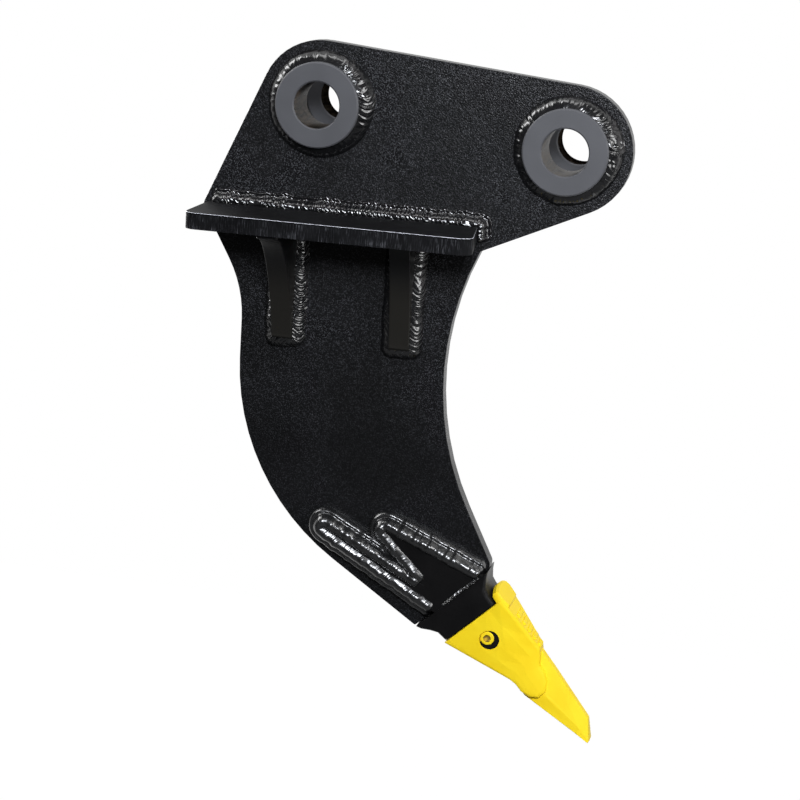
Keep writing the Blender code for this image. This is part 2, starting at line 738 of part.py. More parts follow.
def blade_ring(s, low, high):
    """Across the blade: broad below, narrow at its cutting spine."""
    foot = BLADE_FOOT / MM - BLADE_FOOT_TAPER * s
    spine = BLADE_SPINE / MM - BLADE_SPINE_TAPER * s
    waist = low + 0.38 * (high - low)
    right = [(foot, low), (foot - 0.8, waist), (spine, high)]
    return nose_points(s, [(-y, h) for y, h in right] + right[::-1])


def nose_points(s, section):
    """A section (y, h), in millimetres, set across the nose's axis s from the tooth's back."""
    ring = []
    for y, h in section:
        x, z = on_nose(s * MM, h * MM)
        ring.append(Vector((x, y * MM, z)))
    return ring


def pocket_rings():
    """The nose's own sections with the seat's clearance, drawn on past the tooth's back."""
    seats = []
    for s, low, high, half, corner in (NOSE_ROOT, NOSE_NECK, NOSE_TIP):
        c = TOOTH_SEAT
        seats.append((s + c, low - c, high + c, half + c, corner + c))
    root, neck = seats[:2]
    back = (-2 * LIP_REACH - root[0]) / (neck[0] - root[0])
    mouth = [a + (b - a) * back for a, b in zip(root, neck)]
    return [nose_ring(*station) for station in (mouth, neck, seats[2])]


def build_lip():
    """The top wall's lip: its back edge is bowed, and its outline lies across the nose's axis."""
    root = TOOTH_HALF - LIP_INSET
    half = root - LIP_CLOSE
    edge = []
    for k in range(9):
        across = 2 * k / 8 - 1
        edge.append((-LIP_REACH + LIP_SET_BACK * across**2, half * across))
    outline = [(LIP_REACH, half), (LIP_REACH, -half), (0.0, -root), *edge, (0.0, root)]
    low = COLLAR[-2][2] + LIP_CLEARANCE
    middle = (low + LIP_TOP) / 2
    x, z = on_nose(0.0, middle)
    place = Matrix(
        (
            (AXIS.x, 0.0, RISE.x, x),
            (0.0, 1.0, 0.0, 0.0),
            (AXIS.y, 0.0, RISE.y, z),
            (0.0, 0.0, 0.0, 1.0),
        )
    )
    return cut_plate("tooth_lip", outline, [], LIP_TOP - low, place, YELLOW, LIP_EASE, CUTTERS)


def build_tooth():
    body = loft("tooth", [socket_ring(*station) for station in SOCKET_STATIONS], YELLOW)
    body = eased(body, SOCKET_EASE, 2, 50.0)
    behind = nose_block("tooth_behind", -2 * THROUGH, THROUGH)
    body = boolean(body, behind, "DIFFERENCE")
    edges = [blade_ring(*station) for station in BLADE_STATIONS]
    blade = loft("tooth_blade", edges, YELLOW, collection=CUTTERS)
    blade = eased(blade, BLADE_EASE, 1, 50.0)
    tooth = boolean(body, blade, "UNION")
    tooth = boolean(tooth, build_lip(), "UNION")
    pocket = loft("tooth_pocket", pocket_rings(), YELLOW, collection=CUTTERS)
    tooth = boolean(tooth, pocket, "DIFFERENCE")
    x, z = on_nose(*PIN_AT)
    hole = rod("tooth_pin_hole", (x, z), TOOTH_PIN_R + GAP, THROUGH)
    tooth = boolean(tooth, hole, "DIFFERENCE")
    beside = (x + RECESS_OFFSET[0], z + RECESS_OFFSET[1])
    for side in (-1, 1):
        floor = side * (pin_half() - RECESS_DEPTH)
        recess = rod("ring_recess", beside, RECESS_R, THROUGH / 2, y=floor + side * THROUGH / 2)
        tooth = boolean(tooth, recess, "DIFFERENCE")
    return smooth(tooth, 40.0)


def pin_half():
    """Half the tooth's width at its pin."""
    return TOOTH_HALF - TOOTH_TAPER * PIN_AT[0]


def build_tooth_pin():
    centre = on_nose(*PIN_AT)
    end = pin_half() - PIN_SUNK
    pin = rod("tooth_pin", centre, TOOTH_PIN_R, end, YELLOW, RIPPER, 28)
    pin = eased(pin, PIN_EASE, 1, 60.0)
    for side in (-1, 1):
        middle = side * (end - PIN_DISH + THROUGH / 2)
        dish = rod("pin_dish", centre, PIN_DISH_R, THROUGH / 2, count=16, y=middle)
        pin = boolean(pin, dish, "DIFFERENCE")
    smooth(pin)


def build_lock_rings():
    """C rings that fill the recesses beside the pin, thick in front and open where the pin nearly fills them."""
    centre = Vector(on_nose(*PIN_AT))
    offset = Vector(RECESS_OFFSET)
    inner = TOOTH_PIN_R + GAP
    spans = []
    for k in range(72):
        angle = math.tau * k / 72
        out = Vector((math.cos(angle), math.sin(angle)))
        along = out.dot(offset)
        outer = along + math.sqrt((RECESS_R - GAP) ** 2 - offset.length_squared + along**2)
        if outer - inner > LOCK_RING_LEAST:
            turn = math.remainder(angle - math.atan2(offset.y, offset.x), math.tau)
            spans.append((turn, out, outer))
    spans.sort(key=lambda span: span[0])
    for side_name, side in (("near", -1), ("far", 1)):
        outside = side * (pin_half() - LOCK_RING_SUNK)
        inside = outside - side * LOCK_RING_T
        rings = []
        for _, out, outer in spans[::2]:
            corners = ((inner, inside), (outer, inside), (outer, outside), (inner, outside))
            flat = [(centre + out * r, y) for r, y in corners]
            rings.append([Vector((at.x, y, at.y)) for at, y in flat])
        smooth(loft(f"lock_ring_{side_name}", rings, DARK_RUBBER))


build_main_plate()
build_hubs()
build_wing("wing_near", -1, WING_NEAR_REACH)
build_wing("wing_far", 1, WING_FAR_REACH)
build_gussets()
build_far_ear()
build_nose()
build_cheek_welds()
build_tooth()
build_tooth_pin()
build_lock_rings()
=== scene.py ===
"""Looks of a small excavator ripper: grained black paint, rippled welds, machined hubs, a cast yellow tooth.

Everything is in metres in the frame of the CAD model: X along the wings towards the digging side,
Y away from the near side, Z up, with the origin on the arm pin's axis in the middle of the main plate.
"""

import math
import random

import bmesh
import bpy
from mathutils import Matrix, Vector


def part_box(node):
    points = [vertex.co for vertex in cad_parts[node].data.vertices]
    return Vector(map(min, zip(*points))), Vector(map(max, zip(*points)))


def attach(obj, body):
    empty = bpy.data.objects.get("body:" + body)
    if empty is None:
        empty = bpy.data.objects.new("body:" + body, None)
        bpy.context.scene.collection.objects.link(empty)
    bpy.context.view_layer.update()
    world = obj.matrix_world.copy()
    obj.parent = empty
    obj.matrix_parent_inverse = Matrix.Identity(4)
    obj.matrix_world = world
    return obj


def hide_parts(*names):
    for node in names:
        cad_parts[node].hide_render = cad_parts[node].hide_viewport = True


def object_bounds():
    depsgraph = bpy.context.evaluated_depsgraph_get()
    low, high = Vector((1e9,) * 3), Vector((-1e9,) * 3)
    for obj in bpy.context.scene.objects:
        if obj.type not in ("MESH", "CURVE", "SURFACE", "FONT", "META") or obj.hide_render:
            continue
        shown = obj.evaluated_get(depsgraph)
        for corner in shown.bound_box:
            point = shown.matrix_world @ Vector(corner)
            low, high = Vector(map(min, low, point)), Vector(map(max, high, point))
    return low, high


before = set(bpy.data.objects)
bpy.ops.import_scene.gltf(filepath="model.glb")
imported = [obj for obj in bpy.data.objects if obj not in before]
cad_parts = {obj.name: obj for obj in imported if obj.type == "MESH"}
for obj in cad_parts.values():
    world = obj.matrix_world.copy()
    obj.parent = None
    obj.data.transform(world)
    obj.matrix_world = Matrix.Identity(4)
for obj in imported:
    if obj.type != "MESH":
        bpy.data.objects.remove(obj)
CAD_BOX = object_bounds()

MM = 0.001

# The camera that the photograph was taken with
CAMERA_AT = Vector((0.2819, -2.0775, 0.2408))
CAMERA_AZIMUTH = math.radians(11.69)
CAMERA_ELEVATION = math.radians(13.31)
CAMERA_ROLL = math.radians(3.66)
LENS = 99.0

# The studio
DARK_SIDE = 0.05                # how bright the room before the ripper is
BACK_FILL = 0.36                # how bright the room behind it is
BEHIND = (-0.25, 0.35)          # the directions' Y between which the one turns into the other
FLOOR_HALF = 1.3
FLOOR_DROP = 0.35
FLOOR_WHITE = 1.07              # makes up for the paint that is mixed in
FLOOR_SHARE = 0.93              # the rest is paint, which shows the shadow
FLOOR_FAR = (0.0, 0.5)          # the Y from which what mirrors the floor sees it white
NEUTRAL = (1.0, 1.0, 1.0)
# Each lamp's name, place, target, width and height, power and colour
LAMPS = (
    ("key", (1.5, -0.7, 0.30), (-0.1, 0.0, -0.2), (0.45, 1.3), 13.5, NEUTRAL),
    ("front", (0.30, -1.7, 0.70), (-0.1, 0.0, -0.15), (0.8, 0.45), 39.0, (0.97, 1.0, 1.06)),
    ("left", (-1.3, -0.1, 0.75), (-0.2, 0.0, -0.1), (0.35, 0.9), 9.0, NEUTRAL),
    ("top", (-0.2, -0.3, 1.5), (-0.13, 0.0, -0.2), (1.1, 0.4), 5.0, NEUTRAL),
    ("back", (-1.7, 1.4, 0.1), (-0.1, 0.0, -0.2), (0.7, 0.9), 30.0, NEUTRAL),
)

# Sizes that the frame's boxes don't give
PIN_BORE_R = 22.5 * MM
HUB_CHAMFER = 1.3 * MM
PIN_DISH_R = 3.8 * MM
PIN_DISH = 2.4 * MM
TOOTH_BACK = Vector((-57.4 * MM, 0.0, -474.6 * MM))
TOOTH_SLOPE = math.radians(-46.2)
TOOTH_AXIS = Vector((math.cos(TOOTH_SLOPE), 0.0, math.sin(TOOTH_SLOPE)))
TOOTH_RISE = Vector((-TOOTH_AXIS.z, 0.0, TOOTH_AXIS.x))
TOOTH_LENGTH = (-12 * MM, 172 * MM)
TOOTH_DEPTH = (-36 * MM, 44 * MM)
NOSE_SHOULDER = -29.7 * MM      # along the tooth's axis, from its back
LEG_FACE = 20.3 * MM            # from the middle of the plate
WING_ROOT_RIGHT = -79.5 * MM
# The legs' outlines: circles round these points in X and Z
REAR_LEG = (
    ((-213.0 * MM, -395.5 * MM), 7.5 * MM),
    ((-86.0 * MM, -464.5 * MM), 9.0 * MM),
)
FRONT_LEG = (
    ((-149.0 * MM, -392.0 * MM), 8.0 * MM),
    ((-53.0 * MM, -430.0 * MM), 6.0 * MM),
    ((-80.0 * MM, -462.0 * MM), 6.0 * MM),
)

# Edges and faces
HAIR = 0.1 * MM                 # joins the hair-fine chamfers of the CAD model back into sharp edges
DOUBLE = 0.01 * MM
FLAT = math.radians(0.4)        # faces that turn less are one face
SHARP = 40.0                    # degrees; edges that turn more are eased
PLATE_EASE = 1.0 * MM
GUSSET_EASE = 0.7 * MM
NOSE_EASE = 0.9 * MM
TOOTH_EASE = 0.7 * MM
ARRIS = 2.3 * MM
ARRIS_FROM = 10.0 * MM          # from the wing's root
ARRIS_TURN = 69.0               # more than the facets of the wing's rounded corners turn
HUB_STEPS = 96
SLICE = 5.0 * MM

# The plain ribs on the tooth's top face
RIBS = 5
RIB_START = 25.0 * MM
RIB_PITCH = 9.0 * MM
RIB_LONG = 4.6 * MM
RIB_TALL = 3.2 * MM             # half of it is sunk into the tooth
RIB_FOOT = 39.5 * MM            # the top face's height at the first rib, and its fall along the tooth
RIB_FALL = 0.096
RIB_HALF = 11.0 * MM            # half the first rib's width, and its loss along the tooth
RIB_TAPER = 0.11
RIB_EASE = 0.6 * MM

# Weld beads, by the length of their legs
HUB_BEAD = 10.8 * MM
FAR_HUB_BEAD = 8.0 * MM
WING_BEAD = 8.6 * MM
GUSSET_BEAD = 10.5 * MM
CHEEK_BEAD = 10.0 * MM
SEAM_BEAD = 2.6 * MM
SEAM_FOOT = -13.0 * MM          # up the nose's shoulder from the tooth's axis
SEAM_TOP = 37.0 * MM
WING_START = 2 * MM
SEAT = 0.06 * MM                # how far a weld stays off the metal it joins
BEAD_STEP = 0.6 * MM            # along a bead, between two rows of points
BEAD_DOUBLE = 0.005 * MM
AROUND = 24                     # points round a bead's section
RIPPLE_PITCH = 3.3 * MM
RIPPLE = 0.11                   # how high ripples stand, as a share of the bead's leg
FLAT_RIPPLE = 0.05
LEG_RIPPLE = 0.018
SEAM_RIPPLE = 0.5
KNOB = 4 * MM                   # the least length of a knob along a bead
LEG_KNOB = 7 * MM
SEAM_KNOB = 2 * MM
SLOW_TORCH = Vector((0.95, 0.0, 0.31))
LEG_DIP = math.radians(26.0)    # how far the adapter's legs slope down towards the tooth

PLATE_LOW, PLATE_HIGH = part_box("main_plate")
WING_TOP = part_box("wing_near")[1].z
SIDES = (("near", -1), ("far", 1))


class Value:
    """A shader socket on which Python arithmetic adds Math nodes."""

    def __init__(self, nodes, socket):
        self.nodes = nodes
        self.socket = socket

    def maths(self, operation, *values):
        inputs = dict(enumerate(values))
        return self.nodes.add("ShaderNodeMath", {"operation": operation}, inputs)

    def __add__(self, other):
        return self.maths("ADD", self, other)

    def __sub__(self, other):
        return self.maths("SUBTRACT", self, other)

    def __rsub__(self, other):
        return self.maths("SUBTRACT", other, self)

    def __mul__(self, other):
        return self.maths("MULTIPLY", self, other)

    __radd__ = __add__
    __rmul__ = __mul__

    def larger(self, other):
        return self.maths("MAXIMUM", self, other)

    def between(self, low, high):
        """0 below low, 1 above high and a smooth step between."""
        return self.nodes.add(
            "ShaderNodeMapRange",
            {"interpolation_type": "SMOOTHSTEP"},
            {"Value": self, "From Min": low, "From Max": high},
        )


class Nodes:
    """The node tree of a material or of the world."""

    def __init__(self, owner):
        owner.use_nodes = True
        self.nodes = owner.node_tree.nodes
        self.links = owner.node_tree.links

    def add(self, kind, settings, inputs, output=0):
        """Adds a node with these settings, and these numbers or links on its sockets."""
        node = self.nodes.new(kind)
        for setting, value in settings.items():
            setattr(node, setting, value)
        for socket, value in inputs.items():
            if isinstance(value, Value):
                self.links.new(value.socket, node.inputs[socket])
            else:
                node.inputs[socket].default_value = value
        return Value(self, node.outputs[output])

    def link(self, value, node, socket):
        self.links.new(value.socket, self.nodes[node].inputs[socket])

    def ray(self, kind):
        return self.add("ShaderNodeLightPath", {}, {}, f"Is {kind} Ray")


class Finish(Nodes):
    """A material under construction, round its Principled shader."""

    def __init__(self, name, **constants):
        self.material = bpy.data.materials.new(name)
        super().__init__(self.material)
        self.shader = self.nodes["Principled BSDF"]
        for socket, value in constants.items():
            self.shader.inputs[socket.replace("_", " ")].default_value = value
        self.place = self.add("ShaderNodeTexCoord", {}, {}, "Object")

    def noise(self, size, detail=2.0, roughness=0.5, place=None):
        """Noise whose blobs are about this size across."""
        place = place or self.place
        inputs = {"Vector": place, "Scale": 1 / size, "Detail": detail, "Roughness": roughness}
        return self.add("ShaderNodeTexNoise", {}, inputs)

    def stretched(self, x, y, z):
        """Object coordinates scaled by a share on each axis, to draw a pattern out."""
        return self.add("ShaderNodeMapping", {}, {"Vector": self.place, "Scale": (x, y, z)})

    def drawn_along(self, angle, length):
        """Object coordinates that draw a pattern out along a direction, dipping by this angle from X."""
        inputs = {"Vector": self.place, "Rotation": (0.0, angle, 0.0), "Scale": (length, 1.0, 1.0)}
        return self.add("ShaderNodeMapping", {"vector_type": "TEXTURE"}, inputs)

    def height(self):
        """The place's Z."""
        return self.add("ShaderNodeSeparateXYZ", {}, {"Vector": self.place}, "Z")

    def mix(self, factor, first, second):
        """Two colours mixed; a Mix node's colours are its inputs 6 and 7 and its output 2."""
        colours = {0: factor, 6: first, 7: second}
        return self.add("ShaderNodeMix", {"data_type": "RGBA"}, colours, 2)

    def bump(self, height, distance):
        inputs = {"Height": height, "Distance": distance, "Strength": 1.0}
        return self.add("ShaderNodeBump", {}, inputs)

    def feed(self, **values):
        for socket, value in values.items():
            self.links.new(value.socket, self.shader.inputs[socket.replace("_", " ")])
        return self.material


def grey(level, warm=0.0):
    """A slightly blue grey, or a warmer one."""
    return (level * (1.0 + warm), level * 1.02, level * (1.12 - warm), 1.0)


def plate_paint():
    """Satin black over blasted plate: pale specks on a pebbled skin, in fields; the specks are painted
    stronger high up and fainter on the shank, as painted light.
    """
    finish = Finish("plate_paint", Specular_IOR_Level=0.26)
    grain = finish.noise(1.2 * MM, 1.0)
    speck = finish.noise(0.95 * MM, 0.0).between(0.50, 0.80)
    field = finish.noise(70 * MM, 1.5).between(0.3, 0.7)
    colour = finish.mix(field, grey(0.0030), grey(0.0060))
    # painted light: the plate is paler higher up and darker down the shank, as if the light fell off
    # downwards
    painted_light_above_shank = finish.height().between(-340 * MM, -140 * MM)
    strength = (0.34 + field * 0.30) * (0.45 + painted_light_above_shank * 0.70)
    colour = finish.mix(speck * strength, colour, grey(0.076))
    normal = finish.bump(grain, 0.42 * MM)
    return finish.feed(Base_Color=colour, Roughness=0.34 - field * 0.08, Normal=normal)


def edge_paint():
    """Satin black on the wings, with short upright scratches on their edges."""
    finish = Finish("edge_paint", Specular_IOR_Level=0.04)
    field = finish.noise(45 * MM, 2.0).between(0.3, 0.7)
    scratch = finish.noise(0.75 * MM, 2.0, 0.6, finish.stretched(1.0, 1.0, 0.06))
    patch = finish.noise(24 * MM, 3.0, 0.6).between(0.40, 0.62)
    below_top = 1.0 - finish.height().between(WING_TOP - 2 * MM, WING_TOP - 1 * MM)
    line = scratch.between(0.50, 0.74) * (0.12 + patch * 0.5) * below_top
    colour = finish.mix(field, grey(0.0045), grey(0.0085))
    colour = finish.mix(line, colour, grey(0.17))
    normal = finish.bump(finish.noise(1.6 * MM, 2.0), 0.08 * MM)
    return finish.feed(Base_Color=colour, Roughness=0.45 + field * 0.14, Normal=normal)


def gusset_paint():
    """Smooth black on the gussets with painted shade: dark up under the wing, and paler with a brown cast low
    down, where light reaches them.
    """
    finish = Finish("gusset_paint", Specular_IOR_Level=0.3)
    field = finish.noise(30 * MM, 2.0)
    # painted shade and light: darker above -115 mm under the wing, paler below -165 mm
    low = 1.0 - finish.height().between(-165 * MM, -115 * MM)
    colour = finish.mix(low, grey(0.0025), (0.0125, 0.0115, 0.0095, 1.0))
    normal = finish.bump(finish.noise(2.5 * MM, 2.0), 0.06 * MM)
    return finish.feed(Base_Color=colour, Roughness=0.36 + field * 0.1, Normal=normal)


def arris_wear_and_highlight():
    """The wings' upper arrises, rubbed in patches and coloured pale grey to near white as a painted
    highlight.
    """
    finish = Finish("arris_wear_and_highlight", Metallic=0.2)
    wear_and_highlight = finish.noise(5 * MM, 4.0, 0.7)
    # painted highlight: near-white colour along the arris, in patches of rubbed paint
    colour = finish.mix(wear_and_highlight.between(0.34, 0.50), grey(0.40), grey(0.98))
    return finish.feed(Base_Color=colour, Roughness=0.35 + wear_and_highlight * 0.2)


def weld_gloss(name, size, depth, dull, index, length=1.0):
    """Thick gloss black over the beads, with lumps of this size and depth, drawn out along the legs."""
    finish = Finish(name, IOR=index)
    lumps = finish.noise(size, 0.6, 0.5, finish.drawn_along(LEG_DIP, length))
    colour = finish.mix(lumps, grey(0.003), grey(0.007))
    normal = finish.bump(lumps, depth)
    rough = dull + finish.noise(14 * MM, 2.0) * 0.16
    return finish.feed(Base_Color=colour, Roughness=rough, Normal=normal)


def hub_grey(name, low, high):
    """Machined hub faces under a thin satin grey coat."""
    finish = Finish(name)
    cloud = finish.noise(30 * MM, 3.0)
    speck = finish.noise(0.8 * MM, 2.0)
    colour = finish.mix(cloud, grey(low), grey(high))
    normal = finish.bump(speck, 0.02 * MM)
    return finish.feed(Base_Color=colour, Roughness=0.46 + cloud * 0.1, Normal=normal)


def bore_steel(name, metal, mirror, dark, pale):
    """Bare steel in the bores: brown, with streaks from the boring tool."""
    finish = Finish(name, Metallic=metal, Specular_IOR_Level=mirror)
    streak = finish.noise(4 * MM, 4.0, 0.65, finish.stretched(1.0, 0.15, 1.0))
    stain = finish.noise(12 * MM, 3.0)
    dark, pale = (*dark, 1.0), (*pale, 1.0)
    colour = finish.mix(streak.between(0.35, 0.7), dark, pale)
    stained = finish.mix(stain.between(0.5, 0.7), colour, dark)
    normal = finish.bump(streak, 0.05 * MM)
    return finish.feed(Base_Color=stained, Roughness=0.20 + streak * 0.2, Normal=normal)


def cast_black():
    """The nose adapter's skin: gloss black over a sand casting, slightly brown."""
    finish = Finish("cast_black", Specular_IOR_Level=0.15)
    skin = finish.noise(5 * MM, 3.0, 0.6)
    field = finish.noise(30 * MM, 2.0)
    colour = finish.mix(field, grey(0.0030, 0.03), grey(0.0070, 0.08))
    normal = finish.bump(skin, 0.25 * MM)
    return finish.feed(Base_Color=colour, Roughness=0.26 + field * 0.22, Normal=normal)


def tooth_yellow():
    """Yellow paint over a smooth casting, a shade deeper in broad fields."""
    finish = Finish("tooth_yellow", Specular_IOR_Level=0.22)
    skin = finish.noise(2.4 * MM, 3.0)
    field = finish.noise(35 * MM, 2.0)
    fresh, deep = (0.98, 0.730, 0.016, 1.0), (0.94, 0.665, 0.010, 1.0)
    colour = finish.mix(field.between(0.3, 0.75), fresh, deep)
    normal = finish.bump(skin, 0.07 * MM)
    return finish.feed(Base_Color=colour, Roughness=0.46 + skin * 0.12, Normal=normal)


def ring_rubber():
    """Dull black rubber."""
    finish = Finish("ring_rubber", Specular_IOR_Level=0.15)
    speck = finish.noise(1.0 * MM, 2.0)
    colour = finish.mix(speck, grey(0.002, 0.1), grey(0.006, 0.15))
    return finish.feed(Base_Color=colour, Roughness=0.5 + speck * 0.2)


def dish_painted_shade():
    """Yellow paint darkened to brown in patches, as painted shade in the dished ends of the tooth pin."""
    finish = Finish("dish_painted_shade", Specular_IOR_Level=0.2)
    # painted shade: brown patches in the hollow of each dish
    shade_patches = finish.noise(4 * MM, 3.0, 0.6).between(0.35, 0.6)
    paint, brown = (0.80, 0.52, 0.05, 1.0), (0.20, 0.125, 0.025, 1.0)
    colour = finish.mix(shade_patches, paint, brown)
    return finish.feed(Base_Color=colour, Roughness=0.5 + shade_patches * 0.2)


PLATE_PAINT = plate_paint()
EDGE_PAINT = edge_paint()
GUSSET_PAINT = gusset_paint()
ARRIS_WEAR_AND_HIGHLIGHT = arris_wear_and_highlight()
WELD_GLOSS = weld_gloss("weld_gloss", 5.5 * MM, 0.5 * MM, 0.13, 1.8)
LEG_GLOSS = weld_gloss("leg_gloss", 5.5 * MM, 0.7 * MM, 0.19, 2.1, 3.0)
HUB_GREY = hub_grey("hub_grey", 0.058, 0.080)
# a paler copy of the hub grey: painted light for the far hubs, whose faces get little light
FAR_HUB_PAINTED_LIGHT = hub_grey("far_hub_grey", 0.075, 0.095)
BORE_STEEL = bore_steel("bore_steel", 0.02, 0.02, (0.010, 0.008, 0.006), (0.085, 0.066, 0.050))
# a darker copy of the bore steel: painted shade deep in the far bores
FAR_BORE_SHADED_STEEL = bore_steel("far_bore_shaded_steel", 0.0, 0.0, (0.008, 0.006, 0.005), (0.040, 0.031, 0.023))
CAST_BLACK = cast_black()
TOOTH_YELLOW = tooth_yellow()
RING_RUBBER = ring_rubber()
DISH_PAINTED_SHADE = dish_painted_shade()


def finished_piece(name, shape, materials, node, smooth=35.0):
    """Hands a bmesh over as a piece that stands for a CAD node."""
    bmesh.ops.recalc_face_normals(shape, faces=shape.faces)
    mesh = bpy.data.meshes.new(name)
    shape.to_mesh(mesh)
    shape.free()
    for material in materials:
        mesh.materials.append(material)
    for face in mesh.polygons:
        face.use_smooth = True
    mesh.set_sharp_from_angle(angle=math.radians(smooth))
    piece = bpy.data.objects.new(name, mesh)
    bpy.context.scene.collection.objects.link(piece)
    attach(piece, "root")
    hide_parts(node)
    return piece


def weight_normals(piece):
    weighted = piece.modifiers.new("even_shading", "WEIGHTED_NORMAL")
    weighted.keep_sharp = True


def merged_copy(node, weld=DOUBLE):
    """The CAD node's mesh with its triangles joined into the flat faces that they came from."""
    shape = bmesh.new()
    shape.from_mesh(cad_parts[node].data)
    bmesh.ops.remove_doubles(shape, verts=shape.verts, dist=weld)
    bmesh.ops.dissolve_limit(
        shape, angle_limit=FLAT, verts=shape.verts, edges=shape.edges, delimit=set()
    )
    for face in shape.faces:
        face.material_index = 0
    return shape


def ease_edges(shape, width, angle=SHARP, material=-1, only=None):
    """Rounds the edges that turn more than an angle, in degrees, or only some of them."""
    edges = [
        edge
        for edge in shape.edges
        if len(edge.link_faces) == 2 and edge.calc_face_angle() > math.radians(angle)
    ]
    if only:
        edges = [edge for edge in edges if only(edge)]
    bmesh.ops.bevel(
        shape,
        geom=edges,
        offset=width,
        offset_type="OFFSET",
        segments=2,
        profile=0.5,
        affect="EDGES",
        material=material,
        clamp_overlap=True,
    )


def dress_plate(node, paint, width=PLATE_EASE):
    shape = merged_copy(node, HAIR)
    ease_edges(shape, width)
    piece = finished_piece(f"{node}_painted", shape, [paint], node)
    weight_normals(piece)


def dress_wing(node):
    """A wing keeps its scratched sides; its outer arrises along the top are rubbed in patches and carry a
    painted highlight.
    """
    shape = merged_copy(node, HAIR)
    low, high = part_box(node)
    middle = (low.z + high.z) / 2
    root = min(abs(low.y), abs(high.y)) + ARRIS_FROM

    def outer(edge):
        return all(abs(v.co.y) > root for v in edge.verts)

    # the eased outer arrises take the painted highlight
    ease_edges(shape, ARRIS, ARRIS_TURN, 1, outer)
    for face in shape.faces:
        if face.calc_center_median().z < middle:
            face.material_index = 0
    piece = finished_piece(f"{node}_painted", shape, [EDGE_PAINT, ARRIS_WEAR_AND_HIGHLIGHT], node)
    weight_normals(piece)


def dress_hub(node):
    """A turned ring, with small chamfers at its ends and bare steel in its bore."""
    low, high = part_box(node)
    centre = (low + high) / 2
    radius = (high.x - low.x) / 2
    c = HUB_CHAMFER
    profile = [
        (PIN_BORE_R, low.y + c),
        (PIN_BORE_R + c, low.y),
        (radius - c, low.y),
        (radius, low.y + c),
        (radius, high.y - c),
        (radius - c, high.y),
        (PIN_BORE_R + c, high.y),
        (PIN_BORE_R, high.y - c),
    ]
    shape = bmesh.new()
    points = [shape.verts.new((centre.x + r, y, centre.z)) for r, y in profile]
    edges = [shape.edges.new((a, b)) for a, b in zip(points, points[1:] + points[:1])]
    bmesh.ops.spin(
        shape,
        geom=points + edges,
        cent=centre,
        axis=(0.0, 1.0, 0.0),
        angle=math.tau,
        steps=HUB_STEPS,
        use_merge=True,
    )
    bmesh.ops.remove_doubles(shape, verts=shape.verts, dist=DOUBLE)
    for face in shape.faces:
        out = face.calc_center_median() - centre
        in_bore = math.hypot(out.x, out.z) < PIN_BORE_R + c / 4
        face.material_index = 1 if in_bore else 0
    far = node.startswith("far")
    # the far hubs get painted light on their faces and painted shade in their bores
    materials = [FAR_HUB_PAINTED_LIGHT, FAR_BORE_SHADED_STEEL] if far else [HUB_GREY, BORE_STEEL]
    finished_piece(f"{node}_turned", shape, materials, node, 30.0)


# Beads


def fillet():
    """A plain bead's skin from one leg to the other, part way between flat and round."""
    points = []
    for k in range(AROUND):
        angle = k / (AROUND - 1) * math.pi / 2
        bulge = 0.45 / (math.cos(angle) + math.sin(angle)) + 0.55
        points.append((bulge * math.cos(angle), bulge * math.sin(angle)))
    return tuple(points)


# Skins, as points along u and v in legs
PLAIN = fillet()
# A thin toe on the plate, a hollow and a ridge along the wing
RIDGED = (
    (1.45, 0.0),
    (1.42, 0.16),
    (1.30, 0.18),
    (1.15, 0.13),
    (0.95, 0.28),
    (0.82, 0.62),
    (0.55, 0.94),
    (0.2, 1.05),
    (0.0, 1.0),
)
# Over a leg's top edge: a ridge on the plate, a groove, a ridge on top
LIPPED = (
    (1.15, 0.0),
    (1.12, 0.42),
    (0.86, 0.80),
    (0.60, 0.80),
    (0.42, 1.14),
    (0.08, 1.52),
    (-0.35, 1.56),
    (-0.75, 1.28),
)
# Inner points, which lie against the metal
CORNER = ((0.0, 0.0),)
LEG_TOP = 1.21
OVER_LEG = ((0.0, 0.0), (0.0, LEG_TOP), (-0.75, LEG_TOP))


def along_skin(skin, turn):
    """The point at a share, turn, of the way along a smooth curve through a skin's points."""
    at = turn * (len(skin) - 1)
    i = min(int(at), len(skin) - 2)
    t = at - i
    near = skin[max(i - 1, 0)], skin[i], skin[i + 1], skin[min(i + 2, len(skin) - 1)]
    point = []
    for p, q, r, s in zip(*near):
        bend = (r - p) + (2 * p - 5 * q + 4 * r - s) * t + (3 * q - p - 3 * r + s) * t * t
        point.append(q + 0.5 * t * bend)
    return point


class Torch:
    """How one weld was laid: where it swells, and how its ripples and knobs stand along it."""

    def __init__(self, name, leg, ripple, knob, slow_towards):
        luck = random.Random(name)
        self.leg = leg
        self.ripple = ripple
        self.slow_towards = slow_towards
        self.waves = [(luck.uniform(14, 70) * MM, luck.uniform(0.0, math.tau)) for _ in range(5)]
        self.knobs = [
            (luck.uniform(1, 2.2) * knob, luck.uniform(-5, 5), luck.uniform(0.0, math.tau))
            for _ in range(6)
        ]

    def drift(self, along):
        """A slow wander between -1 and 1."""
        waves = [math.sin(math.tau * along / size + start) for size, start in self.waves]
        return sum(waves) / len(waves)

    def knobbiness(self, along, turn):
        """A quick wander between -1 and 1, which leans as it goes round the bead."""
        waves = [
            math.sin(math.tau * along / size + lean * turn + start) for size, lean, start in self.knobs
        ]
        return sum(waves) / len(waves)

    def reach(self, along, turn, u):
        """How far the skin stands out, a way along the bead and a share, turn, of the way round it."""
        drift = self.drift(along)
        height = self.ripple * (0.7 + 0.9 * drift)
        slow = 0.0
        if self.slow_towards:
            slow = max(0.0, u.dot(self.slow_towards)) ** 6
            height *= 0.1 + 1.3 * slow
        bend = 1.3 * (2 * turn - 1) ** 2 - 0.5 * turn
        pitch = along / RIPPLE_PITCH + 1.9 * drift - bend
        crest = abs(math.sin(math.pi * pitch)) + 0.35 * math.sin(math.tau * 0.43 * pitch)
        lumps = (0.10 * drift + 0.07 * self.knobbiness(along, turn)) * math.sin(math.pi * turn)
        swell = 1.0 + height * (crest - 0.7) + lumps
        return self.leg * (swell + 0.05 * drift + 0.26 * slow)


